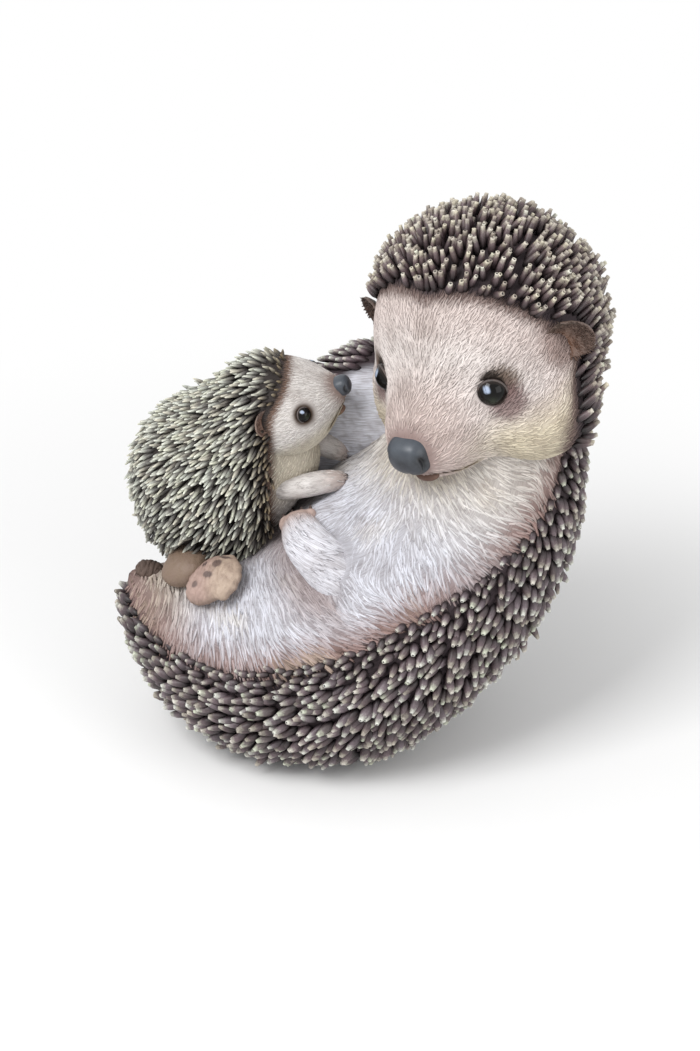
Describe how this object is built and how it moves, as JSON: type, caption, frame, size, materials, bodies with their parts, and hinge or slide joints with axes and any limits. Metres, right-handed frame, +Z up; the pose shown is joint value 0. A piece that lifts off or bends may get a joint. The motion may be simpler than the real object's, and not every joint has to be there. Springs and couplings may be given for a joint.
{
  "type": "porcupine garden statue",
  "caption": "Garden ornament of a mother hedgehog reclining on its back with a young hedgehog climbing onto its belly, resting on a flat base.",
  "frame": {"origin": "on the ground in the plane of the flat base, under the lowest point of the torso's arc", "axes": "+Z up, -Y towards the viewer of the picture, +X from the mother's rump to the mother's head"},
  "size_m": [0.2232, 0.1532, 0.2426],
  "materials": {
    "body_finish": "matte, hand-painted resin",
    "head_finish": "matte, hand-painted resin",
    "baby_finish": "matte, hand-painted resin",
    "mother_eye_glass": "glossy, nearly black",
    "baby_eye_glass": "glossy, dark brown",
    "plug_rubber": "matte black"
  },
  "bodies": {
    "root": {"mother_body": "body_finish", "mother_head": "head_finish", "mother_left_eye": "mother_eye_glass", "mother_right_eye": "mother_eye_glass", "baby": "baby_finish", "baby_left_eye": "baby_eye_glass", "baby_right_eye": "baby_eye_glass", "base_plug": "plug_rubber"}
  },
  "joints": []
}
